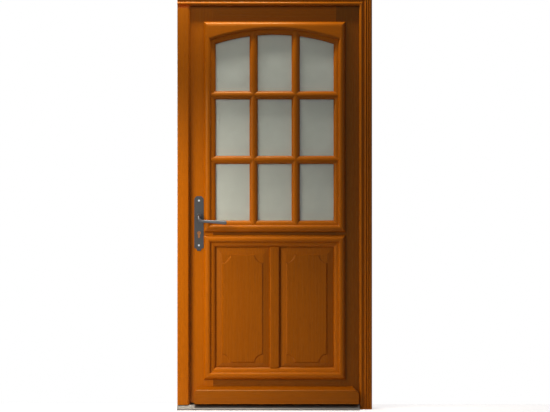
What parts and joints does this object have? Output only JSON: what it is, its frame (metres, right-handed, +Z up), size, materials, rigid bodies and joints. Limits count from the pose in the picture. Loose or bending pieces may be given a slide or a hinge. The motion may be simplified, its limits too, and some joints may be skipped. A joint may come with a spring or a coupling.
{
  "type": "glazed entrance door",
  "caption": "Inward-opening timber door in its frame: arched glazing with bars above, raised panels with hollow corners below, bolection mouldings, weatherboard, mortise lock and levers.",
  "frame": {"origin": "middle of the threshold's underside, half way through the depth of the frame", "axes": "+Z up, +X to the right seen from outside (hinge side), +Y into the building"},
  "size_m": [0.946, 0.1712, 2.024],
  "materials": {
    "varnished_hardwood": "satin varnish, orange brown",
    "obscured_glass": "fine obscured float glass",
    "dark_iron": "dark satin patina",
    "hinge_steel": "bright zinc",
    "zinc_plate": "zinc plated",
    "brass": "satin",
    "mill_aluminium": "mill finish, weathered",
    "seal_rubber": "matt black"
  },
  "bodies": {
    "frame": {"frame_head": "varnished_hardwood", "frame_lock_jamb": "varnished_hardwood", "frame_hinge_jamb": "varnished_hardwood", "lock_jamb_cover_strip": "varnished_hardwood", "threshold": "mill_aluminium", "threshold_seal": "seal_rubber", "frame_seals": "seal_rubber", "strike_plate": "zinc_plate", "hinge_frame_leaf_top": "hinge_steel", "hinge_frame_leaf_middle": "hinge_steel", "hinge_frame_leaf_bottom": "hinge_steel", "hinge_pins": "zinc_plate", "hinge_washers": "brass", "frame_screws": "zinc_plate"},
    "leaf": {"lock_stile": "varnished_hardwood", "hinge_stile": "varnished_hardwood", "top_rail": "varnished_hardwood", "lock_rail": "varnished_hardwood", "bottom_rail": "varnished_hardwood", "panel_mullion": "varnished_hardwood", "panel_left": "varnished_hardwood", "panel_right": "varnished_hardwood", "glazing_moulding_top": "varnished_hardwood", "glazing_moulding_left": "varnished_hardwood", "glazing_moulding_right": "varnished_hardwood", "glazing_moulding_bottom": "varnished_hardwood", "panel_moulding_top": "varnished_hardwood", "panel_moulding_left": "varnished_hardwood", "panel_moulding_right": "varnished_hardwood", "panel_moulding_bottom": "varnished_hardwood", "glass_outer_pane": "obscured_glass", "glass_spacer": "mill_aluminium", "glass_inner_pane": "obscured_glass", "glazing_bar_left": "varnished_hardwood", "glazing_bar_right": "varnished_hardwood", "glazing_bar_upper": "varnished_hardwood", "glazing_bar_lower": "varnished_hardwood", "inner_bar_left": "varnished_hardwood", "inner_bar_right": "varnished_hardwood", "inner_bar_upper": "varnished_hardwood", "inner_bar_lower": "varnished_hardwood", "weatherboard": "varnished_hardwood", "lock_case": "zinc_plate", "lock_faceplate": "zinc_plate", "handle_plate_outer": "dark_iron", "handle_plate_inner": "dark_iron", "plate_bolts": "zinc_plate", "cylinder_body": "brass", "hinge_door_leaf_top": "hinge_steel", "hinge_door_leaf_middle": "hinge_steel", "hinge_door_leaf_bottom": "hinge_steel", "leaf_screws": "zinc_plate"},
    "lever": {"lever_outer": "dark_iron", "lever_inner": "dark_iron", "spindle": "zinc_plate", "lock_follower": "zinc_plate"},
    "latch": {"latch_bolt": "brass"},
    "deadbolt": {"dead_bolt": "zinc_plate"},
    "key_plug": {"cylinder_plug": "brass"}
  },
  "joints": [
    {"name": "leaf_swing", "type": "hinge", "parent": "frame", "child": "leaf", "pos_m": [0.4255, 0.045, 1], "axis": [0, 0, -1], "range_deg": [0, 110]},
    {"name": "lever_turn", "type": "hinge", "parent": "leaf", "child": "lever", "pos_m": [-0.369, 0.012, 0.942], "axis": [0, 1, 0], "range_deg": [0, 40], "stiffness_Nm_per_rad": 1.5, "springref_deg": -45.84},
    {"name": "latch_slide", "type": "slide", "parent": "leaf", "child": "latch", "axis": [1, 0, 0], "range_m": [0, 0.0121]},
    {"name": "key_turn", "type": "hinge", "parent": "leaf", "child": "key_plug", "pos_m": [-0.369, 0.012, 0.857], "axis": [0, 1, 0], "range_deg": [0, 360]},
    {"name": "deadbolt_slide", "type": "slide", "parent": "leaf", "child": "deadbolt", "axis": [-1, 0, 0], "range_m": [0, 0.0201]}
  ],
  "couplings": [
    {"joint": "latch_slide", "follows": "lever_turn", "m_per_rad": 0.017189},
    {"joint": "deadbolt_slide", "follows": "key_turn", "m_per_rad": 0.003183}
  ]
}
